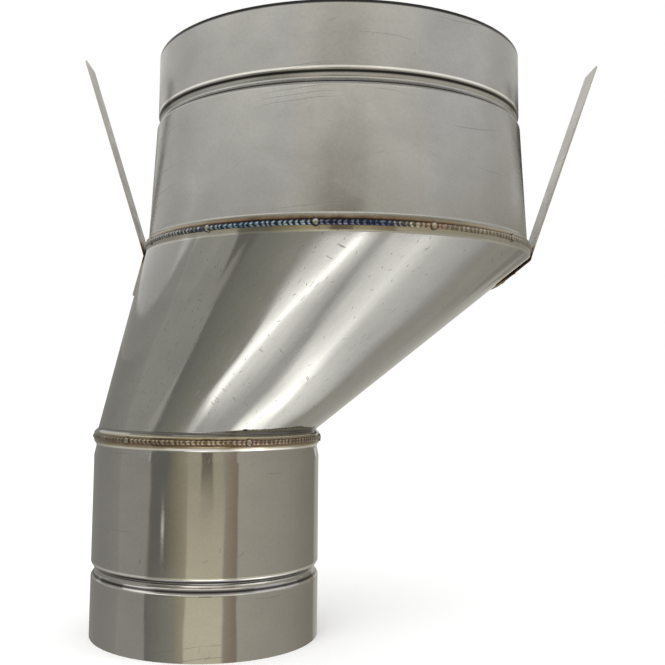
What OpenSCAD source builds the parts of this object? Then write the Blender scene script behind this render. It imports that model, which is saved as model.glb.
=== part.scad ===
// Flue offset adaptor: two rolled stainless collars of different diameters, side-stepped
// by an oblique sheet-metal cone, butt-welded all round and carrying two fixing straps.
// The origin is the centre of the lower collar's open end, +Z runs up the flue and
// +X points towards the axis of the upper collar.

/* [Sheet metal] */
// Thickness of the rolled sheet of the collars and the cone
sheet_t = 1; // [0.6:0.1:1.4]

/* [Upper collar] */
// Outer diameter of the upper collar's plain band at the rim
upper_d = 246.5; // [210:0.5:300]
// Height from the upper girth weld to the top rim
upper_h = 130; // [100:1:200]
// Distance from the top rim down to the middle of the swaged groove
upper_groove_drop = 45; // [25:1:60]
// Depth of the upper collar's swaged groove
upper_groove_depth = 2.4; // [1.5:0.1:4]
// How far the wall below the groove stands out beyond the rim band
upper_step = 0.7; // [0:0.1:2]
// How far the wall widens from the groove down to the flare
upper_taper = 3.8; // [0:0.1:8]
// How far the welded edge is flared out from the foot of the wall
upper_flare = 2; // [1.8:0.1:6]
// Height of the upright lip between the upper girth weld and the flare
upper_lip_h = 3.2; // [3:0.1:7]

/* [Lower collar] */
// Outer diameter of the lower collar
lower_d = 150; // [110:1:180]
// Height from the open end to the lower girth weld
lower_h = 128; // [95:1:200]
// Height of the middle of the swaged groove above the open end
lower_groove_rise = 43; // [25:1:60]
// Depth of the lower collar's swaged groove
lower_groove_depth = 3; // [1.5:0.1:4]
// How far the welded edge stands out from the collar's wall
lower_flare = 0.4; // [0.2:0.1:2]
// Height of the upright lip between the neck and the lower girth weld
lower_lip_h = 2.8; // [2.6:0.1:4]
// Depth of the shallow neck that is rolled in below the welded edge
neck_depth = 1.4; // [0.8:0.1:3]
// Distance from the lower girth weld down to the neck's narrowest place
neck_drop = 5.6; // [5:0.1:9]
// Height over which the wall tapers from full diameter into the neck
neck_run = 6.5; // [4:0.1:12]

/* [Swaged grooves] */
// Height of each swaged groove from shoulder to shoulder
groove_h = 9; // [7:0.1:14]
// Bend radius of the grooves, measured on the outer face
groove_bend_r = 2.6; // [2:0.1:3]

/* [Offset cone] */
// Sideways distance between the axes of the two collars
axis_offset = 86; // [40:1:130]
// Height between the two girth welds
cone_h = 125; // [100:1:200]
// Height of the upright lip below the upper girth weld
cone_top_lip_h = 4.5; // [4:0.1:9]
// Height of the upright lip above the lower girth weld
cone_bottom_lip_h = 3.1; // [2.8:0.1:6]
// How far the cone is drawn in above its lower lip
cone_waist_in = 2.6; // [1.5:0.1:4]
// Height over which the cone is drawn in above its lower lip
cone_waist_h = 2; // [1.5:0.1:4]

/* [Girth welds] */
// Width of the weld beads along the wall
bead_w = 3.4; // [2.4:0.1:4]
// Height of the weld beads above the lips that they join
bead_crown = 0.8; // [0.4:0.1:1]
// Gap between the underside of the beads and the lips
bead_seat = 0.05; // [0:0.01:0.1]
// Number of tack-weld lumps round the upper girth weld
upper_tacks = 12; // [4:1:14]
// Number of tack-weld lumps round the lower girth weld
lower_tacks = 6; // [3:1:9]
// Diameter of a tack-weld lump
tack_d = 5; // [4.4:0.1:6]
// Height of a tack-weld lump above the lips
tack_crown = 1.2; // [1.1:0.1:2]

/* [Long seams] */
// Width of the flat seam that closes each rolled sheet at the back
seam_w = 2; // [1:0.1:3]
// Height of the long seams above the sheet
seam_crown = 0.25; // [0.1:0.05:0.6]

/* [Fixing straps] */
// Width of the strip that the straps are cut from
strap_w = 25; // [15:1:40]
// Thickness of the strip
strap_t = 1.2; // [0.8:0.1:2]
// Length of each strap above the upper girth weld
strap_leg = 138; // [80:1:200]
// Length of the tab that lies on the cone below its upper lip
strap_tab = 28; // [24:1:45]
// Outward lean of the left strap, in degrees from upright
left_strap_lean = 18; // [16:0.5:35]
// Outward lean of the right strap, in degrees from upright
right_strap_lean = 19.5; // [16:0.5:35]
// Gap between a strap and the weld lumps that it passes
strap_clear = 0.1; // [0.1:0.1:1]
// Diameter of a spot-weld nugget on a strap's tab
spot_d = 5; // [3:0.1:8]
// Height of a spot-weld nugget above the tab
spot_crown = 1; // [0.4:0.1:1.4]

/* [Hidden] */
$fn = 96;
// Facets round the cone, a multiple of four so that edges lie under both straps
cone_sides = 96;
// Facets along each bend of the sheet sections
bend_steps = 5;
// Facets along each bend of the cone's lips
lip_steps = 3;
// Distance from a lip's sharp corner to where its bend begins
lip_reach = 1.1;
// Bend radius on the outer face of the flared and necked edges
edge_bend_r = 2.2;
// Bearings of the first tack lumps, in degrees from the front towards +X
upper_tack_start = -7;
lower_tack_start = 25;
// Height in the bead at which a tack lump starts, as a share of the bead's height
lump_seat_share = 0.1;
// Places of the spot-weld nuggets along the tab, as shares of its length
spot_shares = [0.4, 0.75];
// Smallest bend radius of the straps
strap_bend_r = 1.3;

upper_r = upper_d / 2;
lower_r = lower_d / 2;
upper_shoulder_r = upper_r + upper_step;
upper_foot_r = upper_shoulder_r + upper_taper;
upper_lip_r = upper_foot_r + upper_flare;
lower_lip_r = lower_r + lower_flare;
cone_waist_r = lower_lip_r - cone_waist_in;
lower_weld_z = lower_h;
upper_weld_z = lower_weld_z + cone_h;
rim_z = upper_weld_z + upper_h;
cone_top_z = upper_weld_z - cone_top_lip_h;
cone_waist_z = lower_weld_z + cone_bottom_lip_h + cone_waist_h;
groove_half = groove_h / 2;
front_bearing = -90;

// Small vector helpers
function unit(v) = v / norm(v);
function left_of(v) = [-v[1], v[0]];
function blend(a, b, share) = a + (b - a) * share;
function backwards(list) = [for (i = [len(list) - 1:-1:0]) list[i]];
function turn_at(a, b, c) =
  let (p = unit(b - a), q = unit(c - b))
  atan2(p[0] * q[1] - p[1] * q[0], p * q);

// Arc that rounds corner b of the path a, b, c, seen on a face shifted to the path's left
function bend_arc(a, b, c, radius, shift) =
  let (
    turn = turn_at(a, b, c),
    side = sign(turn),
    run = unit(b - a),
    centre = b - run * radius * tan(abs(turn) / 2) + left_of(run) * side * radius,
    r = radius - side * shift,
    from = -left_of(run) * side,
    start = atan2(from[1], from[0])
  )
  [for (i = [0:bend_steps])
    let (angle = start + turn * i / bend_steps)
    centre + r * [cos(angle), sin(angle)]];

// One face of a bent sheet: the path with its corners rounded, shifted to its left
function bent_face(path, radius, shift) =
  let (last = len(path) - 1)
  concat(
    [path[0] + left_of(unit(path[1] - path[0])) * shift],
    [for (i = [1:last - 1]) each bend_arc(path[i - 1], path[i], path[i + 1], radius, shift)],
    [path[last] + left_of(unit(path[last] - path[last - 1])) * shift]
  );

// Closed section of a bent sheet that lies to the left of its path
function sheet_section(path, radius, thickness) =
  concat(bent_face(path, radius, 0), backwards(bent_face(path, radius, thickness)));

// Outer face of the upper collar from its flared edge to its rim, as radius and height
upper_path = [
  [upper_lip_r, upper_weld_z],
  [upper_lip_r, upper_weld_z + upper_lip_h],
  [upper_foot_r, upper_weld_z + upper_lip_h + upper_flare],
  [upper_shoulder_r, rim_z - upper_groove_drop - groove_half],
  [upper_r - upper_groove_depth, rim_z - upper_groove_drop],
  [upper_r, rim_z - upper_groove_drop + groove_half],
  [upper_r, rim_z]
];

// Outer face of the lower collar from its open end to its welded edge
lower_path = [
  [lower_r, 0],
  [lower_r, lower_groove_rise - groove_half],
  [lower_r - lower_groove_depth, lower_groove_rise],
  [lower_r, lower_groove_rise + groove_half],
  [lower_r, lower_weld_z - neck_drop - neck_run],
  [lower_r - neck_depth, lower_weld_z - neck_drop],
  [lower_lip_r, lower_weld_z - lower_lip_h],
  [lower_lip_r, lower_weld_z]
];

// Rings of the cone's outer face from bottom to top, as centre, radius and height
bottom_edge = [0, lower_lip_r, lower_weld_z];
bottom_corner = [0, lower_lip_r, lower_weld_z + cone_bottom_lip_h];
waist_corner = [0, cone_waist_r, cone_waist_z];
top_corner = [axis_offset, upper_lip_r, cone_top_z];
top_edge = [axis_offset, upper_lip_r, upper_weld_z];

// Rings that round the corner b between a and c
function rounded_rings(a, b, c) =
  let (p = b + unit(a - b) * lip_reach, q = b + unit(c - b) * lip_reach)
  [for (i = [0:lip_steps])
    let (share = i / lip_steps)
    blend(blend(p, b, share), blend(b, q, share), share)];

cone_rings = concat(
  [bottom_edge],
  rounded_rings(bottom_edge, bottom_corner, waist_corner),
  rounded_rings(bottom_corner, waist_corner, top_corner),
  rounded_rings(waist_corner, top_corner, top_edge),
  [top_edge]
);

// Direction in which the cone's wall runs at ring i
function ring_run(i) =
  unit(cone_rings[min(i + 1, len(cone_rings) - 1)] - cone_rings[max(i - 1, 0)]);

// Point of the cone's wall at ring i and bearing, a given depth below its outer face
function cone_point(i, bearing, depth) =
  let (
    ring = cone_rings[i],
    run = ring_run(i),
    c = cos(bearing),
    s = sin(bearing),
    outward = unit([c * run[2], s * run[2], -run[1] - run[0] * c])
  )
  [ring[0] + ring[1] * c, ring[1] * s, ring[2]] - outward * depth;

// Both triangles of the patch whose corners are a, b, c and d
function patch(a, b, c, d) = [[a, b, c], [a, c, d]];

// Band of a collar or weld, swept right round its own axis
module revolve(outline, axis_x) {
  translate([axis_x, 0, 0]) rotate_extrude() polygon(outline);
}

// Cap of a sphere that stands on the plane z = 0
module dome(d, crown) {
  ball_r = (d * d / 4 + crown * crown) / (2 * crown);
  intersection() {
    translate([0, 0, crown - ball_r]) sphere(ball_r);
    cylinder(h = 2 * crown, d = 2 * d);
  }
}

// Crowned bead with evenly spaced tack lumps, laid on lips of one radius
module girth_weld(axis_x, lip_r, weld_z, tacks, tack_start) {
  arc_h = bead_crown - bead_seat;
  arc_r = (bead_w * bead_w / 4 + arc_h * arc_h) / (2 * arc_h);
  half_angle = asin(bead_w / 2 / arc_r);
  crown_arc = [for (i = [-bend_steps:bend_steps])
    let (angle = half_angle * i / bend_steps)
    [lip_r + bead_crown - arc_r + arc_r * cos(angle), weld_z + arc_r * sin(angle)]];
  lump_seat = bead_seat + arc_h * lump_seat_share;
  union() {
    revolve(crown_arc, axis_x);
    for (i = [0:tacks - 1])
      translate([axis_x, 0, weld_z])
        rotate([0, 0, front_bearing + tack_start + 360 * i / tacks])
          translate([lip_r + lump_seat, 0, 0])
            rotate([0, 90, 0])
              dome(tack_d, tack_crown - lump_seat);
  }
}

// Flat seam that follows a collar's outer face down its back
module collar_seam(path, radius, axis_x) {
  translate([axis_x, 0, 0])
    rotate([90, 0, 90])
      linear_extrude(seam_w, center = true)
        polygon(sheet_section(path, radius, -seam_crown));
}

module upper_collar() {
  color("#8f8d85")
    revolve(sheet_section(upper_path, groove_bend_r, sheet_t), axis_offset);
}

module lower_collar() {
  color("#86847c")
    revolve(sheet_section(lower_path, edge_bend_r, sheet_t), 0);
}

module offset_cone() {
  rings = len(cone_rings);
  inner_start = rings * cone_sides;
  points = [for (depth = [0, sheet_t]) for (i = [0:rings - 1]) for (k = [0:cone_sides - 1])
    cone_point(i, 360 * k / cone_sides, depth)];
  outer_faces = [for (i = [0:rings - 2]) for (k = [0:cone_sides - 1])
    let (a = i * cone_sides + k, b = i * cone_sides + (k + 1) % cone_sides)
    each patch(a, a + cone_sides, b + cone_sides, b)];
  inner_faces = [for (i = [0:rings - 2]) for (k = [0:cone_sides - 1])
    let (
      a = inner_start + i * cone_sides + k,
      b = inner_start + i * cone_sides + (k + 1) % cone_sides
    )
    each patch(a, b, b + cone_sides, a + cone_sides)];
  top_start = (rings - 1) * cone_sides;
  bottom_faces = [for (k = [0:cone_sides - 1])
    let (next = (k + 1) % cone_sides)
    each patch(k, next, inner_start + next, inner_start + k)];
  top_faces = [for (k = [0:cone_sides - 1])
    let (a = top_start + k, b = top_start + (k + 1) % cone_sides)
    each patch(a, inner_start + a, inner_start + b, b)];
  color("#9a988f")
    polyhedron(points, concat(outer_faces, inner_faces, bottom_faces, top_faces));
}

module upper_girth_weld() {
  color("#6e5f45")
    girth_weld(axis_offset, upper_lip_r, upper_weld_z, upper_tacks, upper_tack_start);
}

module lower_girth_weld() {
  color("#6a5a40")
    girth_weld(0, lower_lip_r, lower_weld_z, lower_tacks, lower_tack_start);
}

module upper_collar_seam() {
  bead_top = [upper_lip_r, upper_weld_z + bead_w / 2];
  path = concat([bead_top], [for (i = [1:len(upper_path) - 1]) upper_path[i]]);
  color("#7d7a70") collar_seam(path, groove_bend_r, axis_offset);
}

module lower_collar_seam() {
  bead_foot = [lower_lip_r, lower_weld_z - bead_w / 2];
  path = concat([for (i = [0:len(lower_path) - 2]) lower_path[i]], [bead_foot]);
  color("#7d7a70") collar_seam(path, edge_bend_r, 0);
}

// Flat seam along the straight line at the back of the cone's ruled wall
module cone_seam() {
  wall_ring = 2 * (lip_steps + 1);
  back_bearing = 90;
  foot = cone_point(wall_ring, back_bearing, 0);
  run = cone_point(wall_ring + 1, back_bearing, 0) - foot;
  tilt = atan2(run[1], run[2]);
  lean = atan2(run[0], norm([run[1], run[2]]));
  top_w = seam_w / 2;
  color("#7d7a70")
    translate(foot) rotate([-tilt, 0, 0]) rotate([0, lean, 0])
      linear_extrude(norm(run))
        polygon([[-seam_w / 2, 0], [seam_w / 2, 0], [top_w / 2, seam_crown], [-top_w / 2, seam_crown]]);
}

// Outline of a strap as distance outwards from the upper axis and height
function strap_path(side, lean) =
  let (
    corner = [upper_lip_r, cone_top_z],
    wall_run = unit([upper_lip_r - cone_waist_r + side * axis_offset, cone_top_z - cone_waist_z]),
    knee = [upper_lip_r + tack_crown + strap_clear, upper_weld_z]
  )
  [
    corner - wall_run * strap_tab,
    corner,
    knee,
    knee + [sin(lean), cos(lean)] * strap_leg
  ];

module strap(side, lean) {
  rotate([90, 0, 0])
    linear_extrude(strap_w, center = true)
      polygon(sheet_section(strap_path(side, lean), strap_t + strap_bend_r, -strap_t));
}

module left_strap() {
  color("#a3a29a") translate([axis_offset, 0, 0]) mirror([1, 0, 0]) strap(-1, left_strap_lean);
}

module right_strap() {
  color("#a3a29a") translate([axis_offset, 0, 0]) strap(1, right_strap_lean);
}

// Spot-weld nuggets in a row on the outer face of a strap's tab
module spot_welds(side, lean) {
  path = strap_path(side, lean);
  tab_run = unit(path[0] - path[1]);
  tab_out = left_of(tab_run);
  for (share = spot_shares) {
    place = path[1] + tab_run * strap_tab * share + tab_out * strap_t;
    translate([place[0], 0, place[1]])
      rotate([0, 90 - atan2(tab_out[1], tab_out[0]), 0])
        dome(spot_d, spot_crown);
  }
}

module left_strap_spot_welds() {
  color("#5c564a")
    translate([axis_offset, 0, 0]) mirror([1, 0, 0]) spot_welds(-1, left_strap_lean);
}

module right_strap_spot_welds() {
  color("#5c564a") translate([axis_offset, 0, 0]) spot_welds(1, right_strap_lean);
}

upper_collar();
offset_cone();
lower_collar();
upper_girth_weld();
lower_girth_weld();
upper_collar_seam();
cone_seam();
lower_collar_seam();
left_strap();
right_strap();
left_strap_spot_welds();
right_strap_spot_welds();
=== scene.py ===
import math
import random

import bmesh
import bpy
from mathutils import Matrix, Vector, noise


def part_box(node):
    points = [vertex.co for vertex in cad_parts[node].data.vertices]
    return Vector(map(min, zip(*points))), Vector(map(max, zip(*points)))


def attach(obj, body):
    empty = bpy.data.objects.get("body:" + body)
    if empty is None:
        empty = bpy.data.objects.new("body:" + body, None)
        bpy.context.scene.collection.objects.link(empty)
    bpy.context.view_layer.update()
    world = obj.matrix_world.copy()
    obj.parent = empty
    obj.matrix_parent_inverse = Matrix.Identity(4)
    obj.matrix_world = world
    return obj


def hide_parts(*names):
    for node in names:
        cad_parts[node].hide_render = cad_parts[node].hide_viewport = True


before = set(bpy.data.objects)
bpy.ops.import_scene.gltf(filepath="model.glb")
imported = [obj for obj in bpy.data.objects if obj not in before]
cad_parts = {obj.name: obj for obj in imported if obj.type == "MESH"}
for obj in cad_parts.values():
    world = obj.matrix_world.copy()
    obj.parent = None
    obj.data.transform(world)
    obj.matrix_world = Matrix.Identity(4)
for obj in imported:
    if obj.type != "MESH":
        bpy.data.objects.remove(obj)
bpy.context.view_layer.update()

MM = 0.001

# Places that the finish depends on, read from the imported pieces
upper_low, upper_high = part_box("upper_collar")
lower_low, lower_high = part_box("lower_collar")
cone_low, cone_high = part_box("offset_cone")
UPPER_AXIS = (upper_low.x + upper_high.x) / 2
LOWER_AXIS = (lower_low.x + lower_high.x) / 2
UPPER_LIP_R = (upper_high.x - upper_low.x) / 2
LOWER_LIP_R = (lower_high.x - lower_low.x) / 2
UPPER_WELD_Z = cone_high.z
LOWER_WELD_Z = cone_low.z
RIM_Z = upper_high.z
MIDDLE = Vector((UPPER_AXIS / 2, 0, RIM_Z / 2))


# Camera at the photograph's place, with its turns in radians

PHOTO_SIDE = 665
CAMERA_PLACE = Vector((65.0, -636.6, 166.4)) * MM
CAMERA_YAW = 0.0102
CAMERA_PITCH = 0.0956
CAMERA_ROLL = 0.0111
FOCAL_PIXELS = 930.9
CENTRE_PIXEL = (296, 290)


def make_camera():
    """Camera whose image is the photograph's, as placed by its yaw, pitch and roll."""
    ahead = Vector((-math.sin(CAMERA_YAW), math.cos(CAMERA_YAW), 0))
    forward = ahead * math.cos(CAMERA_PITCH) + Vector((0, 0, math.sin(CAMERA_PITCH)))
    level_right = Vector((math.cos(CAMERA_YAW), math.sin(CAMERA_YAW), 0))
    level_up = level_right.cross(forward)
    right = level_right * math.cos(CAMERA_ROLL) + level_up * math.sin(CAMERA_ROLL)
    up = right.cross(forward)
    data = bpy.data.cameras.new("photo_camera")
    data.lens = FOCAL_PIXELS * data.sensor_width / PHOTO_SIDE
    data.shift_x = (PHOTO_SIDE / 2 - CENTRE_PIXEL[0]) / PHOTO_SIDE
    data.shift_y = (CENTRE_PIXEL[1] - PHOTO_SIDE / 2) / PHOTO_SIDE
    camera = bpy.data.objects.new("photo_camera", data)
    turn = Matrix((right, up, -forward)).transposed().to_4x4()
    camera.matrix_world = Matrix.Translation(CAMERA_PLACE) @ turn
    bpy.context.scene.collection.objects.link(camera)
    bpy.context.scene.camera = camera


# Node-tree shorthand

# The mix node has sockets for each kind of data, and these are the ones for colour
MIX_A, MIX_B, MIX_RESULT = 6, 7, 2


class Nodes:
    """A few short calls that add shader nodes to a tree and return their sockets."""

    def __init__(self, tree):
        self.tree = tree
        tree.nodes.clear()

    def add(self, kind, inputs=(), **settings):
        node = self.tree.nodes.new(kind)
        for key, value in settings.items():
            setattr(node, key, value)
        for key, value in dict(inputs).items():
            self.feed(node.inputs[key], value)
        return node

    def feed(self, socket, value):
        if isinstance(value, bpy.types.NodeSocket):
            self.tree.links.new(value, socket)
        else:
            socket.default_value = value

    def math(self, operation, *values, clamp=False):
        inputs = dict(enumerate(values))
        return self.add("ShaderNodeMath", inputs, operation=operation, use_clamp=clamp).outputs[0]

    def plus(self, a, b, clamp=False):
        return self.math("ADD", a, b, clamp=clamp)

    def minus(self, a, b):
        return self.math("SUBTRACT", a, b)

    def times(self, a, b, clamp=False):
        return self.math("MULTIPLY", a, b, clamp=clamp)

    def over(self, a, b):
        return self.math("DIVIDE", a, b)

    def smooth(self, value, low, high):
        inputs = {"Value": value, "From Min": low, "From Max": high}
        node = self.add("ShaderNodeMapRange", inputs, interpolation_type="SMOOTHSTEP")
        return node.outputs[0]

    def span(self, value, low, high, to_low, to_high):
        inputs = {
            "Value": value, "From Min": low, "From Max": high,
            "To Min": to_low, "To Max": to_high,
        }
        return self.add("ShaderNodeMapRange", inputs).outputs[0]

    def spread(self, pattern, low, high):
        """A noise's usual values, which lie round a half, spread from low to high."""
        return self.span(pattern, 0.3, 0.7, low, high)

    def mix(self, share, a, b, blend="MIX"):
        node = self.add("ShaderNodeMix", data_type="RGBA", blend_type=blend)
        self.feed(node.inputs["Factor"], share)
        self.feed(node.inputs[MIX_A], a)
        self.feed(node.inputs[MIX_B], b)
        return node.outputs[MIX_RESULT]

    def ramp(self, value, stops):
        node = self.add("ShaderNodeValToRGB", {"Fac": value})
        marks = node.color_ramp.elements
        while len(marks) < len(stops):
            marks.new(0.5)
        for mark, (place, colour) in zip(marks, stops):
            mark.position = place
            mark.color = (*colour, 1)
        return node.outputs[0]

    def noise(self, vector, scale, detail=2.0, roughness=0.5, distortion=0.0):
        inputs = {
            "Vector": vector, "Scale": scale, "Detail": detail,
            "Roughness": roughness, "Distortion": distortion,
        }
        return self.add("ShaderNodeTexNoise", inputs).outputs["Fac"]

    def join(self, x, y, z):
        return self.add("ShaderNodeCombineXYZ", {"X": x, "Y": y, "Z": z}).outputs[0]

    def bump(self, height, distance, normal=None):
        inputs = {"Height": height, "Distance": distance, "Strength": 1.0}
        if normal is not None:
            inputs["Normal"] = normal
        return self.add("ShaderNodeBump", inputs).outputs[0]

    def show(self, shader, output="ShaderNodeOutputMaterial"):
        self.feed(self.add(output).inputs["Surface"], shader.outputs[0])

    def show_metal(self, colour, rough, normal):
        self.show(self.add("ShaderNodeBsdfPrincipled", {
            "Base Color": colour, "Roughness": rough, "Normal": normal, "Metallic": 1.0,
        }))


def new_material(name):
    material = bpy.data.materials.new(name)
    material.use_nodes = True
    return material, Nodes(material.node_tree)


class Wrapped:
    """Sheet coordinates: the bearing from the front, and the height in metres and millimetres.

    Where axis_high is given, the axis leans from axis_low at z_low to axis_high at z_high.
    """

    def __init__(self, nodes, axis_low, axis_high=None, z_low=0.0, z_high=1.0):
        self.place = nodes.add("ShaderNodeTexCoord").outputs["Object"]
        parts = nodes.add("ShaderNodeSeparateXYZ", {"Vector": self.place})
        self.z = parts.outputs["Z"]
        self.up = nodes.over(self.z, MM)
        axis = axis_low
        if axis_high is not None:
            axis = nodes.span(self.z, z_low, z_high, axis_low, axis_high)
            axis.node.clamp = False
        from_axis = nodes.minus(parts.outputs["X"], axis)
        ahead = nodes.times(parts.outputs["Y"], -1.0)
        self.angle = nodes.math("ARCTAN2", from_axis, ahead)

    def pattern(self, nodes, radius, cells, detail, roughness, distortion=0.0):
        """Noise on the sheet, with its cells to a millimetre round and up."""
        round_cells = nodes.times(self.angle, radius / MM * cells[0])
        up_cells = nodes.times(self.up, cells[1])
        place = nodes.join(round_cells, up_cells, 0.0)
        return nodes.noise(place, 1.0, detail, roughness, distortion)


# Sheet metal

# Heat tint of stainless steel, from cold metal to the burnt edge of a weld
TINT_STOPS = [
    (0.00, (1.00, 1.00, 1.00)),
    (0.12, (1.00, 0.97, 0.88)),
    (0.25, (0.96, 0.89, 0.70)),
    (0.42, (0.76, 0.61, 0.43)),
    (0.60, (0.44, 0.30, 0.20)),
    (0.80, (0.14, 0.09, 0.06)),
    (1.00, (0.05, 0.04, 0.04)),
]
# Cosines of the turn from a weld's hottest bearing at which it is coolest and hottest
HEAT_TURN = (0.6, 0.97)
# How fast the edge of the heat wanders round a weld
HEAT_PACE = 3.0
GIRTH_BEAD_WIDTH = 3.3 * MM

# Above and below the weld: how far the heat is full and where it is gone, in millimetres, and
# its peak. The heat is strongest at the hottest bearing, in degrees, and falls to the cool share.
UPPER_HEAT = {
    "z": UPPER_WELD_Z, "above": (-0.8, 4.4, 0.95), "below": (0.0, 4.5, 0.32),
    "hottest": -8, "cool": 0.42, "wander": 0.5, "seed": 3.0,
}
LOWER_HEAT = {
    "z": LOWER_WELD_Z, "above": (0.0, 3.5, 0.42), "below": (0.3, 3.5, 0.52),
    "hottest": 0, "cool": 0.85, "wander": 0.3, "seed": 11.0,
}
# Straps: heat tint above the weld, and below it painted shade: the dark band round each strap's bend and down
# its tab
STRAP_HEAT_AND_SHADE = {
    "left": {
        "z": UPPER_WELD_Z, "above": (0.0, 7.0, 0.72), "below": (4.0, 12.0, 0.85),
        "hottest": 0, "cool": 1.0, "wander": 1.5, "seed": 5.0,
    },
    "right": {
        "z": UPPER_WELD_Z, "above": (0.0, 6.0, 0.62), "below": (13.0, 25.0, 0.80),
        "hottest": 0, "cool": 1.0, "wander": 2.5, "seed": 8.0,
    },
}


def heat_near(nodes, wrapped, weld):
    """Heat from 0 to 1 beside a girth weld, strongest at one bearing and uneven along it; on the straps, the
    part below the weld is painted shade.
    """
    above = nodes.over(nodes.minus(wrapped.z, weld["z"]), MM)
    away = nodes.minus(nodes.math("ABSOLUTE", above), GIRTH_BEAD_WIDTH / 2 / MM)
    along = nodes.join(nodes.times(wrapped.angle, HEAT_PACE), weld["seed"], 0.0)
    drift = nodes.noise(along, 3.0, 4.0, 0.6)
    away = nodes.plus(away, nodes.spread(drift, -weld["wander"], weld["wander"]))
    heat = 0.0
    for side, (full, gone, peak) in ((1.0, weld["above"]), (-1.0, weld["below"])):
        here = nodes.math("GREATER_THAN", nodes.times(above, side), 0.0)
        fade = nodes.minus(1.0, nodes.smooth(away, full, gone))
        heat = nodes.plus(heat, nodes.times(nodes.times(here, fade), peak))
    turned = nodes.math("COSINE", nodes.minus(wrapped.angle, math.radians(weld["hottest"])))
    strength = nodes.span(turned, *HEAT_TURN, weld["cool"], 1.0)
    return nodes.times(heat, strength, clamp=True)


# Radius of a scratch in its pattern cell, the share of that which is cut full depth, and how far
# the scratch bends for its length
DASH_REACH = 0.3
DASH_CORE = 0.3
DASH_BEND = 0.12


def dashes(nodes, wrapped, radius, slant, length, width, keep, seed):
    """Hair scratches, sized in millimetres, one in each kept cell of a stretched pattern."""
    turn = math.radians(slant)
    round_mm = nodes.times(wrapped.angle, radius / MM)
    along = nodes.plus(
        nodes.times(round_mm, math.cos(turn)), nodes.times(wrapped.up, math.sin(turn)),
    )
    across = nodes.minus(
        nodes.times(wrapped.up, math.cos(turn)), nodes.times(round_mm, math.sin(turn)),
    )
    bend = nodes.noise(nodes.join(nodes.over(along, length), seed, 0.0), 1.5, 1.0)
    across = nodes.plus(across, nodes.times(bend, length * DASH_BEND))
    cell = nodes.join(
        nodes.times(along, 2 * DASH_REACH / length), nodes.times(across, 2 * DASH_REACH / width), seed,
    )
    inputs = {"Vector": cell, "Scale": 1.0, "Randomness": 1.0}
    spots = nodes.add("ShaderNodeTexVoronoi", inputs, voronoi_dimensions="2D")
    away = nodes.smooth(spots.outputs["Distance"], DASH_REACH * DASH_CORE, DASH_REACH)
    chosen = nodes.add("ShaderNodeSeparateColor", {"Color": spots.outputs["Color"]}).outputs[0]
    return nodes.times(nodes.minus(1.0, away), nodes.math("LESS_THAN", chosen, keep))


# Patterns of rolled sheet: cells to a millimetre round and up, detail, roughness and distortion
CLOUDS = ((0.025, 0.04), 4.0, 0.6, 0.4)
SMUDGES = ((0.035, 0.055), 6.0, 0.65, 1.5)
MOTTLE = ((0.5, 0.5), 3.0, 0.7)
WAVES = ((0.022, 0.012), 1.5, 0.5)
GRAIN_DETAIL = (3.0, 0.7)
# How much rougher the metal is where it is hottest, and in a scratch
HEAT_ROUGH = 0.10
SCRATCH_ROUGH = 0.15

# Tones are bare stainless steel, a warm grey. rough is the roughness from clean to smudged metal,
# grain is its cells to a millimetre round and up, and each scratch layer is its slant, length and
# width, and the share of pattern cells that hold one.
MATT_FINISH = {
    "grain": (0.25, 3.0), "grain_tone": 0.02, "grain_mm": 0.003,
    "mottle_tone": 0.05, "mottle_mm": 0.010, "cloud": 0.07, "wave_mm": 1.0,
    "scratches": [
        (5, 70, 0.5, 0.022), (-4, 50, 0.4, 0.010), (70, 4, 0.5, 0.0012), (20, 9, 0.4, 0.0012),
    ],
    "scratch_tone": 0.30, "cut_mm": 0.01, "painted_shade_and_highlight_lines": [],
}
STRAP_FINISH = {**MATT_FINISH, "tone": (0.48, 0.47, 0.44), "rough": (0.25, 0.38)}
# Lines are painted shade in the rolled grooves and bends, painted highlights on their shoulders,
# and a dark line along the rim: height and half width in millimetres, and how much brighter or
# darker the metal is there
UPPER_FINISH = {
    **MATT_FINISH, "tone": (0.372, 0.368, 0.352), "rough": (0.20, 0.29),
    "painted_shade_and_highlight_lines": [
        (382.2, 1.2, 0.08), (343.4, 0.8, 2.1), (341.2, 0.8, 0.08), (339.5, 0.6, 1.3),
        (335.1, 0.5, 0.12),
    ],
}
LOWER_FINISH = {
    **MATT_FINISH, "tone": (0.368, 0.360, 0.345), "rough": (0.05, 0.10), "grain_mm": 0.002,
    "mottle_tone": 0.045, "mottle_mm": 0.005, "cloud": 0.04, "wave_mm": 0.7,
    "scratches": [
        (0, 30, 0.4, 0.006), (8, 60, 0.4, 0.008), (80, 5, 0.5, 0.002), (35, 6, 0.4, 0.0015),
    ],
    # Painted highlights below the weld and on the groove's shoulders, and painted shade in the groove
    "painted_shade_and_highlight_lines": [
        (123.4, 0.7, 1.9), (47.9, 0.7, 1.9), (46.1, 0.7, 0.08), (40.5, 0.7, 0.15), (39.0, 0.5, 1.4),
    ],
}
CONE_FINISH = {
    **MATT_FINISH, "tone": (0.373, 0.371, 0.356), "rough": (0.06, 0.11),
    "grain": (1.0, 0.10), "grain_tone": 0.035, "grain_mm": 0.004,
    "mottle_tone": 0.045, "mottle_mm": 0.006, "cloud": 0.05, "wave_mm": 0.8,
    "scratches": [
        (-70, 2.2, 0.5, 0.016), (25, 3, 0.45, 0.011), (80, 4.5, 0.4, 0.010), (-20, 9, 0.35, 0.005),
    ],
    "scratch_tone": 0.55, "cut_mm": 0.02,
    # Painted highlight along the cone's top bend and painted shade at its foot
    "painted_shade_and_highlight_lines": [(248.2, 0.6, 1.4), (133.1, 0.7, 0.35)],
}


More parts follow.
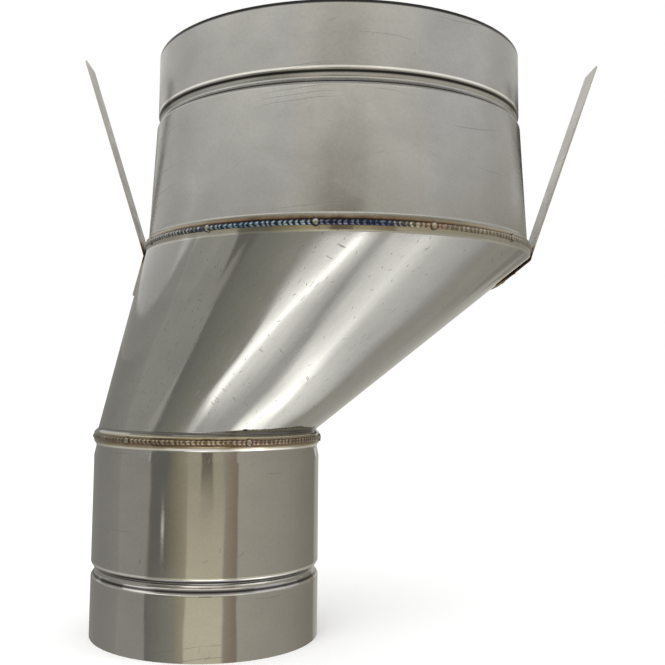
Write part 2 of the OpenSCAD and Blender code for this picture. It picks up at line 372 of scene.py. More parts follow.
def sheet_metal(name, radius, axes, welds, finish):
    """Rolled stainless sheet: grain, scratches, smudges, waviness and heat tint, with painted shade and
    painted highlights in bands along its grooves and bends.
    """
    material, nodes = new_material(name)
    wrapped = Wrapped(nodes, *axes)
    clouds = wrapped.pattern(nodes, radius, *CLOUDS)
    smudges = wrapped.pattern(nodes, radius, *SMUDGES)
    grain = wrapped.pattern(nodes, radius, finish["grain"], *GRAIN_DETAIL)
    mottle = wrapped.pattern(nodes, radius, *MOTTLE)
    waves = wrapped.pattern(nodes, radius, *WAVES)

    scratched = 0.0
    for number, (slant, length, width, keep) in enumerate(finish["scratches"]):
        layer = dashes(nodes, wrapped, radius, slant, length, width, keep, 10.0 + number)
        scratched = nodes.math("MAXIMUM", scratched, layer)
    # Heat tint beside the welds; on the straps, the darkening below the weld is painted shade
    heat = 0.0
    for weld in welds:
        heat = nodes.plus(heat, heat_near(nodes, wrapped, weld), clamp=True)

    shade = nodes.spread(clouds, 1 - finish["cloud"], 1 + finish["cloud"])
    for pattern, depth in ((grain, finish["grain_tone"]), (mottle, finish["mottle_tone"])):
        shade = nodes.times(shade, nodes.span(pattern, 0.25, 0.75, 1 - depth, 1 + depth))
    shade = nodes.times(shade, nodes.span(scratched, 0.0, 1.0, 1.0, 1 - finish["scratch_tone"]))
    colour = nodes.mix(1.0, (*finish["tone"], 1), nodes.join(shade, shade, shade), "MULTIPLY")
    colour = nodes.mix(1.0, colour, nodes.ramp(heat, TINT_STOPS), "MULTIPLY")
    # Painted shade and painted highlights: bands of the metal darkened in the grooves and bends and
    # brightened on their shoulders
    for height, half, painted_light_gain in finish["painted_shade_and_highlight_lines"]:
        off = nodes.math("ABSOLUTE", nodes.minus(wrapped.up, height))
        near = nodes.minus(1.0, nodes.smooth(off, half * 0.5, half * 1.3))
        painted_line_tone = nodes.mix(1.0, colour, (painted_light_gain, painted_light_gain, painted_light_gain, 1), "MULTIPLY")
        colour = nodes.mix(near, colour, painted_line_tone)

    roughness = nodes.span(smudges, 0.35, 0.7, *finish["rough"])
    roughness = nodes.plus(roughness, nodes.times(heat, HEAT_ROUGH))
    roughness = nodes.plus(roughness, nodes.times(scratched, SCRATCH_ROUGH), clamp=True)
    normal = nodes.bump(waves, finish["wave_mm"] * MM)
    normal = nodes.bump(grain, finish["grain_mm"] * MM, normal)
    normal = nodes.bump(mottle, finish["mottle_mm"] * MM, normal)
    normal = nodes.bump(nodes.times(scratched, -1.0), finish["cut_mm"] * MM, normal)
    nodes.show_metal(colour, roughness, normal)
    return material


# Weld metal

# Grain of the weld metal's patterns, in cells to a metre, and the depth of its fine grain
FINE_GRAIN = 900.0
JITTER_GRAIN = 260.0
PATCH_GRAIN = 160.0
BROAD_GRAIN = 60.0
FINE_DEPTH = 0.05 * MM
SEAM_RIPPLE = 2.6 * MM
SEAM_DEPTH = 0.05 * MM
# How far a ripple bows along the bead at its middle, and how far its tint strays, in ripples
RIPPLE_BOW = 0.28
RIPPLE_JITTER = 0.22
# Radius of a tack lump, its bright top, and the burnt metal round it and along the bead's edges
LUMP_SIZE = 2.5 * MM
LUMP_TONE = (0.44, 0.40, 0.32, 1)
BURNT_TONE = (0.035, 0.025, 0.02, 1)

# Length of a ripple, bearing of the first lump and step to the next in degrees, and the colours of
# the crests and of the gaps between them by bearing: heat tints, with painted highlights on the
# crests and painted shade in the gaps
UPPER_BEAD = {
    "pitch": 3.4 * MM, "seed": 4, "lumps": (-7, 30),
    "crest_tint_and_highlight_stops": [
        (-175, (0.36, 0.30, 0.20)), (-140, (0.24, 0.28, 0.34)), (-110, (0.38, 0.34, 0.26)),
        (-80, (0.34, 0.33, 0.30)), (-40, (0.40, 0.40, 0.38)), (-29, (0.22, 0.33, 0.40)),
        (-12, (0.38, 0.50, 0.53)), (-5, (0.13, 0.15, 0.21)), (10, (0.15, 0.17, 0.24)),
        (16, (0.50, 0.48, 0.38)), (24, (0.35, 0.20, 0.15)), (30, (0.36, 0.33, 0.27)),
        (60, (0.40, 0.38, 0.32)), (105, (0.30, 0.22, 0.18)), (140, (0.26, 0.32, 0.38)),
        (175, (0.36, 0.30, 0.20)),
    ],
    "gap_tint_and_shade_stops": [
        (-150, (0.06, 0.06, 0.08)), (-72, (0.19, 0.18, 0.15)), (-44, (0.05, 0.06, 0.08)),
        (-25, (0.03, 0.04, 0.08)), (0, (0.02, 0.02, 0.04)), (10, (0.02, 0.03, 0.07)),
        (20, (0.15, 0.13, 0.09)), (30, (0.18, 0.15, 0.11)), (60, (0.20, 0.18, 0.14)),
        (150, (0.06, 0.06, 0.08)),
    ],
}
LOWER_BEAD = {
    "pitch": 3.1 * MM, "seed": 9, "lumps": (25, 60),
    "crest_tint_and_highlight_stops": [
        (-160, (0.34, 0.29, 0.21)), (-80, (0.25, 0.22, 0.18)), (-30, (0.30, 0.26, 0.20)),
        (10, (0.36, 0.31, 0.23)), (28, (0.34, 0.23, 0.23)), (40, (0.34, 0.29, 0.22)),
        (90, (0.30, 0.26, 0.20)), (160, (0.32, 0.25, 0.18)),
    ],
    "gap_tint_and_shade_stops": [
        (-120, (0.12, 0.09, 0.06)), (0, (0.14, 0.10, 0.065)), (120, (0.12, 0.09, 0.07)),
    ],
}
SEAM_STOPS = [
    (0.00, (0.24, 0.20, 0.15)), (0.35, (0.36, 0.33, 0.27)), (0.65, (0.42, 0.40, 0.35)),
    (1.00, (0.30, 0.24, 0.19)),
]
NUGGET_STOPS = [
    (0.00, (0.03, 0.025, 0.02)), (0.45, (0.09, 0.07, 0.05)), (0.75, (0.20, 0.15, 0.10)),
    (1.00, (0.10, 0.11, 0.15)),
]


def around(nodes, wrapped, stops):
    """Colour that changes round the axis, from stops by bearing in degrees from the front."""
    share = nodes.span(wrapped.angle, -math.pi, math.pi, 0.0, 1.0)
    return nodes.ramp(share, [((bearing + 180) / 360, colour) for bearing, colour in stops])


def ripples_round(lip_r, bead):
    return round(2 * math.pi * lip_r / bead["pitch"])


def weld_metal(name, axis, lip_r, weld_z, bead):
    """Rippled weld metal, tinted by bearing, with painted highlights on its crests and painted shade between
    them, and dark along the bead and round its lumps.
    """
    material, nodes = new_material(name)
    wrapped = Wrapped(nodes, axis)
    fine = nodes.noise(wrapped.place, FINE_GRAIN, 3.0, 0.6)
    patches = nodes.noise(wrapped.place, PATCH_GRAIN, 3.0, 0.6)
    stray = nodes.noise(wrapped.place, JITTER_GRAIN, 2.0)
    above = nodes.over(nodes.minus(wrapped.z, weld_z), MM)
    beside = nodes.over(nodes.math("ABSOLUTE", above), GIRTH_BEAD_WIDTH / 2 / MM)

    # Crests and gaps, counted from the +X side as the mesh's ripples are: painted highlights on the
    # crests and painted shade in the gaps, over the heat tints
    bow = nodes.times(nodes.minus(1.0, nodes.times(beside, beside)), RIPPLE_BOW)
    bow = nodes.plus(bow, nodes.spread(stray, -RIPPLE_JITTER, RIPPLE_JITTER))
    turned = nodes.minus(wrapped.angle, math.pi / 2)
    phase = nodes.plus(nodes.times(turned, ripples_round(lip_r, bead) / (2 * math.pi)), bow)
    crest = nodes.math("ABSOLUTE", nodes.math("SINE", nodes.times(phase, math.pi)))
    crest = nodes.plus(crest, nodes.spread(patches, -0.35, 0.25))
    gap_tint_and_shade = around(nodes, wrapped, bead["gap_tint_and_shade_stops"])
    crest_tint_and_highlight = around(nodes, wrapped, bead["crest_tint_and_highlight_stops"])
    colour = nodes.mix(nodes.smooth(crest, 0.50, 1.0), gap_tint_and_shade, crest_tint_and_highlight)

    # Tack lumps
    first, spacing = bead["lumps"]
    half_step = math.radians(spacing) / 2
    from_first = nodes.minus(wrapped.angle, math.radians(first))
    gap = nodes.times(nodes.math("WRAP", from_first, half_step, -half_step), lip_r / MM)
    squared = nodes.plus(nodes.times(gap, gap), nodes.times(above, above))
    from_lump = nodes.over(nodes.math("SQRT", squared), LUMP_SIZE / MM)
    in_lump = nodes.minus(1.0, nodes.smooth(from_lump, 0.55, 0.75))
    colour = nodes.mix(nodes.times(in_lump, 0.6), colour, LUMP_TONE)

    # Burnt metal, darker along the upper edge
    round_lump = nodes.times(nodes.smooth(from_lump, 0.65, 0.8), nodes.smooth(from_lump, 1.25, 1.0))
    edge = nodes.times(nodes.smooth(beside, 0.70, 0.92), nodes.smooth(from_lump, 0.9, 1.1))
    edge = nodes.times(edge, nodes.span(above, -0.5, 0.5, 0.5, 0.95))
    dark = nodes.math("MAXIMUM", edge, nodes.times(round_lump, 0.5))
    colour = nodes.mix(dark, colour, BURNT_TONE)
    nodes.show_metal(colour, nodes.spread(fine, 0.14, 0.34), nodes.bump(fine, FINE_DEPTH))
    return material


def seam_metal(name, stops):
    """Planished weld metal of the long seams and of the spot-weld nuggets."""
    material, nodes = new_material(name)
    place = nodes.add("ShaderNodeTexCoord").outputs["Object"]
    broad = nodes.noise(place, BROAD_GRAIN, 3.0, 0.6)
    fine = nodes.noise(place, FINE_GRAIN, 3.0, 0.6)
    mixed = nodes.plus(broad, nodes.times(nodes.minus(fine, 0.5), 0.5))
    colour = nodes.ramp(nodes.spread(mixed, 0.0, 1.0), stops)
    height = nodes.add("ShaderNodeSeparateXYZ", {"Vector": place}).outputs["Z"]
    ripple = nodes.math("SINE", nodes.times(height, 2 * math.pi / SEAM_RIPPLE))
    normal = nodes.bump(fine, FINE_DEPTH, nodes.bump(ripple, SEAM_DEPTH))
    nodes.show_metal(colour, nodes.spread(fine, 0.18, 0.36), normal)
    return material


# Meshes

JOIN_DISTANCE = 0.0005 * MM
# Least angle of an edge that stays sharp, and largest between faces that count as one flat face
SHARP_ANGLE = math.radians(40)
FLAT_ANGLE = math.radians(0.5)
# Width of the rubbed edges of the straps
STRAP_EDGE = 0.12 * MM


def mesh_object(name, points, faces, material):
    mesh = bpy.data.meshes.new(name)
    mesh.from_pydata(points, [], faces)
    for face in mesh.polygons:
        face.use_smooth = True
    mesh.update()
    mesh.materials.append(material)
    made = bpy.data.objects.new(name, mesh)
    bpy.context.scene.collection.objects.link(made)
    return made


def stand_for(piece, node):
    """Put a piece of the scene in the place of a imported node."""
    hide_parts(node)
    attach(piece, "root")


def dressed_copy(node, name, material, bevel=0.0):
    """Copy of a node's mesh with its faces joined up and shaded by their area."""
    form = bmesh.new()
    form.from_mesh(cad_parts[node].data)
    bmesh.ops.remove_doubles(form, verts=form.verts, dist=JOIN_DISTANCE)
    bmesh.ops.recalc_face_normals(form, faces=form.faces)
    if bevel:
        bmesh.ops.dissolve_limit(form, angle_limit=FLAT_ANGLE, verts=form.verts, edges=form.edges)
        edges = [e for e in form.edges if e.calc_face_angle(0) > SHARP_ANGLE]
        bmesh.ops.bevel(form, geom=edges, offset=bevel, segments=2, profile=0.6, affect="EDGES")
    form.verts.index_update()
    points = [v.co.copy() for v in form.verts]
    faces = [[v.index for v in f.verts] for f in form.faces]
    sharp = {
        tuple(sorted(v.index for v in e.verts))
        for e in form.edges if e.calc_face_angle(math.pi) > SHARP_ANGLE
    }
    form.free()
    piece = mesh_object(name, points, faces, material)
    if not bevel:
        for edge in piece.data.edges:
            edge.use_edge_sharp = tuple(sorted(edge.vertices)) in sharp
    shading = piece.modifiers.new("area_shading", "WEIGHTED_NORMAL")
    shading.keep_sharp = True
    stand_for(piece, node)


BEAD_POINTS_ACROSS = 13
STEPS_PER_RIPPLE = 9
BEAD_CROWN = 0.8 * MM
LUMP_CROWN = 1.2 * MM
# How far the underside of the bead lies below the face of the lips
BEAD_SEAT = 0.25 * MM
# Height of the bead between two ripples, as a share of the crown, and how far a crest strays
LOW_SHARES = (0.62, 0.80)
CREST_DRIFT = 0.10
# Ragged edges: pace round the bead and share of its half width, and how far the bead wanders
EDGE_WAVES = ((9, 0.10), (40, 0.05))
WANDER_PACE = 6
BEAD_WANDER = 0.25 * MM
# Powers that make the ripples and the lumps full rather than pointed
RIPPLE_FULLNESS = 0.55
LUMP_FULLNESS = 0.6


def scallop(share):
    """Height of one ripple, low at its two ends."""
    return abs(math.sin(math.pi * share)) ** RIPPLE_FULLNESS


def girth_bead(name, node, axis_x, lip_r, weld_z, bead, material):
    """Ring of overlapping weld ripples, with its tack lumps, closed underneath."""
    chance = random.Random(bead["seed"])
    ripples = ripples_round(lip_r, bead)
    lows = [chance.uniform(*LOW_SHARES) for _ in range(ripples)]
    drift = [chance.uniform(-CREST_DRIFT, CREST_DRIFT) for _ in range(ripples)]
    steps = ripples * STEPS_PER_RIPPLE
    first, spacing = bead["lumps"]
    lumps = range(first, first + 360, spacing)
    points = []
    for i in range(steps):
        along = i / STEPS_PER_RIPPLE
        angle = 2 * math.pi * i / steps
        where = Vector((math.cos(angle), math.sin(angle), bead["seed"]))
        swell = sum(depth * noise.noise(where * pace) for pace, depth in EDGE_WAVES)
        half = GIRTH_BEAD_WIDTH / 2 * (1 + swell)
        shift = BEAD_WANDER * noise.noise(where * WANDER_PACE)
        ring = []
        for k in range(BEAD_POINTS_ACROSS):
            w = -1 + 2 * k / (BEAD_POINTS_ACROSS - 1)
            phase = along + RIPPLE_BOW * (1 - w * w)
            number = math.floor(phase) % ripples
            share = phase - math.floor(phase)
            share += drift[number] * share * (1 - share)
            low = lows[number]
            height = BEAD_CROWN * (1 - w * w) * (low + (1 - low) * scallop(min(1, max(0, share))))
            z = w * half + shift
            for lump_deg in lumps:
                gap = math.remainder(angle - math.radians(lump_deg - 90), 2 * math.pi) * lip_r
                near = 1 - (gap / LUMP_SIZE) ** 2 - (z / LUMP_SIZE) ** 2
                if near > 0:
                    height = max(height, LUMP_CROWN * near ** LUMP_FULLNESS)
                if abs(gap) < LUMP_SIZE and abs(w) == 1:
                    z = math.copysign(max(abs(z), math.sqrt(LUMP_SIZE ** 2 - gap * gap)), w)
            ring.append((lip_r + height, weld_z + z))
        ring.append((lip_r - BEAD_SEAT, ring[-1][1]))
        ring.append((lip_r - BEAD_SEAT, ring[0][1]))
        points.extend((axis_x + r * math.cos(angle), r * math.sin(angle), z) for r, z in ring)
    count = BEAD_POINTS_ACROSS + 2
    faces = []
    for i in range(steps):
        for k in range(count):
            a, b = i * count, (i + 1) % steps * count
            n = (k + 1) % count
            faces.append((a + k, b + k, b + n, a + n))
    piece = mesh_object(name, points, faces, material)
    stand_for(piece, node)


# Studio: cards that only reflections see, on a sphere round the object and close to the lower
# collar, and a ground glow. Azimuth 0 is the front and 90 the right, in degrees.

CARD_STEP = 4


def card_material(name, soft):
    """Panel that gives off its mesh's light and fades at its left, right, low and high edges."""
    material, nodes = new_material(name)
    place = nodes.add("ShaderNodeTexCoord").outputs["UV"]
    parts = nodes.add("ShaderNodeSeparateXYZ", {"Vector": place})
    solid = 1.0
    for number, width in enumerate(soft):
        if width:
            inwards = parts.outputs["XY"[number // 2]]
            if number % 2:
                inwards = nodes.minus(1.0, inwards)
            solid = nodes.times(solid, nodes.smooth(inwards, 0.0, width))
    glow = nodes.add("ShaderNodeAttribute", attribute_name="glow").outputs["Color"]
    light = nodes.add("ShaderNodeEmission", {"Color": glow, "Strength": 1.0})
    clear = nodes.add("ShaderNodeBsdfTransparent")
    nodes.show(nodes.add("ShaderNodeMixShader", {0: solid, 1: clear.outputs[0], 2: light.outputs[0]}))
    material.cycles.emission_sampling = "NONE"
    return material


def stage_card(name, grid, glows, soft):
    """Card from a grid of points, rows by columns, and the light at each."""
    rows, columns = len(grid), len(grid[0])
    points = [p for row in grid for p in row]
    faces = [
        (i * columns + k, i * columns + k + 1, (i + 1) * columns + k + 1, (i + 1) * columns + k)
        for i in range(rows - 1) for k in range(columns - 1)
    ]
    card = mesh_object(name, points, faces, card_material(name, soft))
    spread = card.data.uv_layers.new(name="spread")
    for face in card.data.polygons:
        for corner in face.loop_indices:
            row, column = divmod(card.data.loops[corner].vertex_index, columns)
            spread.data[corner].uv = (column / (columns - 1), row / (rows - 1))
    glow = card.data.attributes.new(name="glow", type="FLOAT_COLOR", domain="POINT")
    for point, colour in zip(glow.data, (c for row in glows for c in row)):
        point.color = (*colour, 1)
    card.visible_camera = False
    card.visible_diffuse = False
    card.visible_shadow = False


def points_over(degrees):
    return max(2, round(degrees / CARD_STEP) + 1)


def screen(name, azimuths, elevations, distance, colour, soft, other=None, tilt=(1.0, 1.0)):
    """Curved card round the middle of the object, all in degrees.

    soft is how far the card fades at its left, right, low and high edges, other is the colour
    of its right end where that differs, and tilt scales it at its low and at its high edge.
    """
    wide = azimuths[1] - azimuths[0]
    tall = elevations[1] - elevations[0]
    columns, rows = points_over(wide), points_over(tall)
    grid, glows = [], []
    for i in range(rows):
        up = math.radians(elevations[0] + tall * i / (rows - 1))
        strength = tilt[0] + (tilt[1] - tilt[0]) * i / (rows - 1)
        row, lights = [], []
        for k in range(columns):
            side = math.radians(azimuths[0] + wide * k / (columns - 1))
            level = Vector((math.sin(side), -math.cos(side), 0))
            row.append(MIDDLE + (level * math.cos(up) + Vector((0, 0, math.sin(up)))) * distance)
            light = Vector(colour).lerp(Vector(other or colour), k / (columns - 1))
            lights.append(light * strength)
        grid.append(row)
        glows.append(lights)
    stage_card(name, grid, glows, (soft[0] / wide, soft[1] / wide, soft[2] / tall, soft[3] / tall))


NECK_R = 72 * MM
EYE_BEARING = math.atan2(CAMERA_PLACE.x, -CAMERA_PLACE.y)
RAIL_SOFT = (0, 0, 0.04, 0.04)


def rail(name, azimuths, ends, reach, heights):
    """Upright card round the lower collar, where its neck mirrors what has these azimuths."""
    wide = azimuths[1] - azimuths[0]
    columns = points_over(wide)
    grid, glows = [], []
    for height in heights:
        row, lights = [], []
        for k in range(columns):
            side = math.radians(azimuths[0] + wide * k / (columns - 1))
            side -= math.asin(NECK_R / reach * math.sin((side + EYE_BEARING) / 2))
            x, y = LOWER_AXIS + reach * math.sin(side), -reach * math.cos(side)
            row.append(Vector((x, y, height * MM)))
            lights.append(ends[0].lerp(ends[1], k / (columns - 1)))
        grid.append(row)
        glows.append(lights)
    stage_card(name, grid, glows, RAIL_SOFT)


def smooth_place(places, share):
    """Point on a smooth curve through even places, from share 0 to 1, and straight beyond."""
    last = len(places) - 1
    where = share * last
    i = min(max(math.floor(where), 0), last - 1)
    t = where - i
    a, b = Vector(places[i]), Vector(places[i + 1])
    before = Vector(places[i - 1]) if i else 2 * a - b
    after = Vector(places[i + 2]) if i + 2 <= last else 2 * b - a
    run_in, run_out = (b - before) / 2, (after - a) / 2
    if t < 0:
        return a + run_in * t
    if t > 1:
        return b + run_out * (t - 1)
    return (
        a * (2 * t ** 3 - 3 * t ** 2 + 1) + run_in * (t ** 3 - 2 * t ** 2 + t)
        + b * (3 * t ** 2 - 2 * t ** 3) + run_out * (t ** 3 - t ** 2)
    )


GROUND_GLOW_Z = -300
GROUND_STEPS = 30
GROUND_SPAN = (-0.22, 1.12)
GROUND_TINT = Vector((1.0, 0.99, 0.95))
GROUND_SOFT = (0.06, 0.06, 0.03, 0.03)

# Long lights laid below the object. Each line is its brightness at five places from far to near,
# and those places in millimetres; the glow runs evenly from each line to the next.
GROUND_LINES = [
    ((0.55, 0.62, 0.70, 0.70, 0.75), ((-195, -850), (-165, -710), (-155, -605), (-210, -530), (-200, -465))),
    ((1.80, 2.65, 2.80, 2.20, 1.30), ((115, -625), (35, -575), (-40, -535), (-140, -490), (-95, -405))),
    ((3.30, 3.30, 3.30, 2.90, 0.85), ((170, -575), (55, -560), (-15, -520), (-110, -470), (-80, -395))),
    ((1.90, 1.85, 1.85, 1.60, 0.85), ((215, -530), (100, -520), (35, -480), (-65, -445), (-30, -365))),
    ((0.88, 0.68, 0.80, 0.80, 0.80), ((310, -440), (255, -375), (215, -310), (140, -270), (75, -275))),
    ((0.88, 0.68, 0.80, 0.80, 0.80), ((335, -405), (275, -350), (240, -280), (190, -215), (145, -190))),
    ((1.40, 1.45, 1.60, 2.00, 2.20), ((375, -360), (330, -285), (270, -240), (245, -130), (180, -145))),
    ((1.80, 1.95, 2.40, 3.40, 3.20), ((480, -215), (415, -165), (360, -100), (295, -40), (220, -80))),
    ((1.15, 1.20, 1.40, 1.85, 1.60), ((565, -85), (480, -45), (400, -30), (315, 15), (265, 25))),
    ((0.52, 0.52, 0.52, 0.52, 0.52), ((825, 470), (700, 510), (560, 430), (430, 440), (340, 300))),
]


def make_ground_glow():
    grid, glows = [], []
    for i in range(GROUND_STEPS + 1):
        share = GROUND_SPAN[0] + (GROUND_SPAN[1] - GROUND_SPAN[0]) * i / GROUND_STEPS
        held = min(max(share, 0), 1)
        row, lights = [], []
        for levels, places in GROUND_LINES:
            row.append(Vector((*smooth_place(places, share), GROUND_GLOW_Z)) * MM)
            level = smooth_place([(v, 0) for v in levels], held).x
            lights.append(GROUND_TINT * level)
        grid.append(row)
        glows.append(lights)
    stage_card("ground_glow", grid, glows, GROUND_SOFT)


# Wall panels seen in the lower collar: name, azimuths, colour, right end's colour, soft left and
# right edges, and how it changes upwards. Each stands once far off, and once on a rail close by
# for the neck of the collar.
PANELS = [
    ("left_far", (-180, -88), (0.22, 0.217, 0.205), (0.53, 0.52, 0.48), (0, 1), (1, 1)),
    ("left_near", (-89, -53.5), (0.58, 0.57, 0.53), (0.56, 0.55, 0.51), (1, 1), (1, 1)),
    ("dark_post", (-53, -32), (0.28, 0.275, 0.25), None, (4, 1), (1, 1)),
    ("brown_panel", (-33, -14), (0.36, 0.33, 0.25), (0.74, 0.68, 0.50), (1, 1), (1, 0.8)),
    ("warm_wall", (-15, 24), (0.95, 0.89, 0.68), None, (2, 3), (1.32, 0.50)),
    ("brown_side", (23, 36.5), (0.62, 0.55, 0.42), (0.46, 0.38, 0.30), (3, 1), (1, 1)),
    ("right_wall", (36, 98), (0.78, 0.74, 0.64), (0.60, 0.57, 0.49), (1, 3), (1, 1)),
    ("right_far", (97, 150), (0.60, 0.57, 0.49), (0.34, 0.32, 0.28), (3, 5), (1, 1)),
]
PANEL_ELEVATIONS = (-19.5, 0)
PANEL_DISTANCE = 4.9
PANEL_SOFT_UP = (1.5, 1)
# Share of the way up a panel that the neck mirrors
NECK_TILT = 0.68

# Distance from the lower axis and heights in millimetres of the near panels, clear of what the
# cone and the upper collar mirror. Panels that end left of LEFT_RAIL_END stand on the left rail.
LEFT_RAIL = (325 * MM, (120, 215))
FRONT_RAIL = (870 * MM, (80, 430))
LEFT_RAIL_END = -52
CLOTH_RAIL = (860 * MM, (80, 430))
CLOTH_ON_RAIL = (0, 12.5)
CLOTH_TONE = (0.30, 0.27, 0.21)

# Screens: name, azimuths, elevations, distance, colour, soft edges, right end's colour and tilt
SCREENS = [
    ("low_room", (-180, 180), (-62, 0), 6.0, (0.57, 0.55, 0.49), (0, 0, 4, 1)),
    ("left_flank_far", (-180, -88), (-34, 9.8), 5.5, (0.30, 0.295, 0.28), (0, 1, 6, 0.5), (0.56, 0.55, 0.51)),
    ("left_flank_near", (-89, -54), (-34, 8.2), 5.4, (0.57, 0.56, 0.52), (1, 1, 6, 0.5), (0.68, 0.67, 0.62)),
    ("light_sliver", (-38.5, -34.5), (-11.6, -8.8), 4.5, (1.25, 1.20, 1.10), (1.2, 1.2, 1, 1)),
    ("hung_cloth", (-2.5, 13), (-9.6, 0), 4.5, CLOTH_TONE, (3, 3, 3.5, 0.5)),
    ("right_grey", (98, 152), (-30, 0), 5.2, (0.56, 0.52, 0.44), (6, 8, 8, 1), (0.48, 0.46, 0.40)),
    ("dark_wedge", (-54.5, -17), (-46, -12), 4.6, (0.30, 0.30, 0.28), (1, 12, 6, 2), (0.54, 0.53, 0.44)),
    ("skirting_light", (-58, 60), (0, 7), 5.0, (1.8, 1.7, 1.45), (14, 12, 1, 2)),
    ("upper_left_wall", (-180, -97), (8, 45), 6.0, (0.80, 0.79, 0.76), (0, 8, 1, 5), None, (0.86, 1.4)),
    ("upper_left_front", (-98, -28), (7.5, 45), 6.0, (0.97, 0.96, 0.92), (8, 10, 2, 5), None, (0.58, 1.9)),
    (
        "front_window", (-30, 56), (9, 45), 5.8, (1.00, 0.98, 0.90), (8, 12, 2, 5),
        (0.98, 0.97, 0.90), (0.55, 2.0),
    ),
    ("upper_right_low", (50, 130), (0, 19), 5.7, (0.78, 0.76, 0.71), (10, 6, 1, 3), (0.66, 0.65, 0.61)),
    ("upper_right_wall", (98, 180), (0, 45), 6.0, (0.88, 0.86, 0.82), (8, 0, 1, 5), (0.56, 0.55, 0.52)),
    ("dim_patch", (-14, 18.5), (9, 20.4), 5.0, (0.23, 0.165, 0.14), (2.5, 3.5, 1, 3.5)),
    ("left_flag", (-176, -156), (12, 20), 4.0, (0.03, 0.03, 0.03), (2, 3, 1, 2)),
    ("right_flag", (136, 172), (9, 20), 4.0, (0.04, 0.04, 0.04), (8, 2, 2, 2)),
    ("ceiling", (-180, 180), (44, 80), 6.0, (0.58, 0.57, 0.53), (0, 0, 2, 8)),
]


def make_cards():
    for row in SCREENS:
        screen(*row)
    for name, azimuths, colour, other, soft_round, tilt in PANELS:
        soft = soft_round + PANEL_SOFT_UP
        screen(name, azimuths, PANEL_ELEVATIONS, PANEL_DISTANCE, colour, soft, other, tilt)
        near = tilt[0] + (tilt[1] - tilt[0]) * NECK_TILT
        ends = [Vector(colour) * near, Vector(other or colour) * near]
        stand = LEFT_RAIL if azimuths[1] < LEFT_RAIL_END else FRONT_RAIL
        rail("near_" + name, azimuths, ends, *stand)
    rail("near_hung_cloth", CLOTH_ON_RAIL, [Vector(CLOTH_TONE)] * 2, *CLOTH_RAIL)
    make_ground_glow()


# Lamps aimed at the middle of the object: name, place, diameter, and power in watts
LAMPS = [
    ("top_light", (-0.5, -1.2, 1.6), 1.0, 9.0),
    ("right_light", (1.5, -0.4, 1.1), 0.8, 4.0),
]


def soft_light(name, place, size, power):
    data = bpy.data.lights.new(name, "AREA")
    data.shape = "DISK"
    data.size = size
    data.energy = power
    light = bpy.data.objects.new(name, data)
    light.location = place
    light.rotation_mode = "QUATERNION"
    light.rotation_quaternion = (MIDDLE - Vector(place)).to_track_quat("-Z", "Y")
    light.visible_camera = False
    light.visible_glossy = False
    bpy.context.scene.collection.objects.link(light)


# Half the side of the floor, the range of its pale tone, and what the camera sees on top of that
FLOOR_HALF = 25.0
FLOOR_TONE = (0.93, 0.95)
FLOOR_LIFT = 0.12


def make_floor():
    """Pale floor that the camera sees as white, but for the object's shadow."""
    material, nodes = new_material("pale_floor")
    place = nodes.add("ShaderNodeTexCoord").outputs["Object"]
    speck = nodes.spread(nodes.noise(place, 3.0, 3.0), *FLOOR_TONE)
    matt = nodes.add("ShaderNodeBsdfDiffuse", {"Color": nodes.join(speck, speck, speck)})
    seen = nodes.add("ShaderNodeLightPath").outputs["Is Camera Ray"]
    lift = nodes.add("ShaderNodeEmission", {"Strength": nodes.times(seen, FLOOR_LIFT)})
    nodes.show(nodes.add("ShaderNodeAddShader", {0: matt.outputs[0], 1: lift.outputs[0]}))
    material.cycles.emission_sampling = "NONE"
    corners = [(-1, -1), (1, -1), (1, 1), (-1, 1)]
    points = [(x * FLOOR_HALF, y * FLOOR_HALF, 0) for x, y in corners]
    floor = mesh_object("floor", points, [(0, 1, 2, 3)], material)
    floor.visible_glossy = False


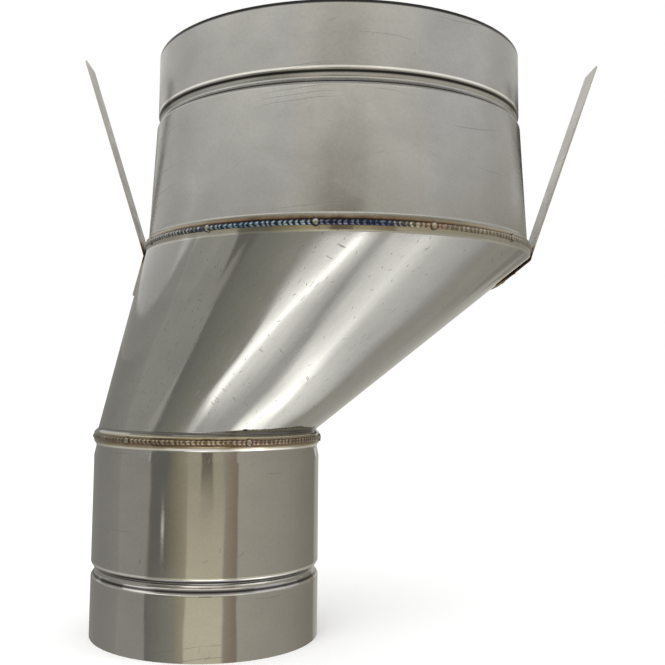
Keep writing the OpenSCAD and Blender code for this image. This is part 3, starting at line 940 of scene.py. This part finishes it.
def make_world():
    world = bpy.data.worlds.new("white_room")
    world.use_nodes = True
    nodes = Nodes(world.node_tree)
    light = nodes.add("ShaderNodeBackground", {"Color": (1, 1, 1, 1), "Strength": 1.0})
    nodes.show(light, "ShaderNodeOutputWorld")
    world.cycles.sampling_method = "NONE"
    bpy.context.scene.world = world


# The whole scene

make_camera()
make_world()
make_floor()
make_cards()
for lamp in LAMPS:
    soft_light(*lamp)

matt = sheet_metal("matt_sheet", UPPER_LIP_R, (UPPER_AXIS,), [UPPER_HEAT], UPPER_FINISH)
satin = sheet_metal("satin_sheet", LOWER_LIP_R, (LOWER_AXIS,), [LOWER_HEAT], LOWER_FINISH)
CONE_AXES = (LOWER_AXIS, UPPER_AXIS, LOWER_WELD_Z, UPPER_WELD_Z)
bright = sheet_metal("bright_sheet", UPPER_LIP_R, CONE_AXES, [UPPER_HEAT, LOWER_HEAT], CONE_FINISH)
seam_line_metal = seam_metal("seam_line_metal", SEAM_STOPS)
nugget_metal = seam_metal("nugget_metal", NUGGET_STOPS)

for node, material, slot in (
    ("upper_collar", matt, "matt_stainless"), ("lower_collar", satin, "satin_stainless"),
):
    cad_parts[node].data.materials[0] = material

dressed_copy("offset_cone", "cone_sheet", bright)
# Strap tints: heat tint above the weld and painted shade at the bend below it
for strap, heat in (("left_strap", STRAP_HEAT_AND_SHADE["left"]), ("right_strap", STRAP_HEAT_AND_SHADE["right"])):
    strip = sheet_metal(strap + "_steel", UPPER_LIP_R, (UPPER_AXIS,), [heat], STRAP_FINISH)
    dressed_copy(strap, strap + "_strip", strip, STRAP_EDGE)
    dressed_copy(strap + "_spot_welds", strap + "_nuggets", nugget_metal)
for seam in ("upper_collar_seam", "cone_seam", "lower_collar_seam"):
    dressed_copy(seam, seam + "_bead", seam_line_metal)
for which, axis, lip_r, weld_z, bead in (
    ("upper", UPPER_AXIS, UPPER_LIP_R, UPPER_WELD_Z, UPPER_BEAD),
    ("lower", LOWER_AXIS, LOWER_LIP_R, LOWER_WELD_Z, LOWER_BEAD),
):
    metal = weld_metal(which + "_bead_metal", axis, lip_r, weld_z, bead)
    girth_bead(which + "_girth_bead", which + "_girth_weld", axis, lip_r, weld_z, bead, metal)

bpy.context.scene.view_settings.view_transform = "Standard"
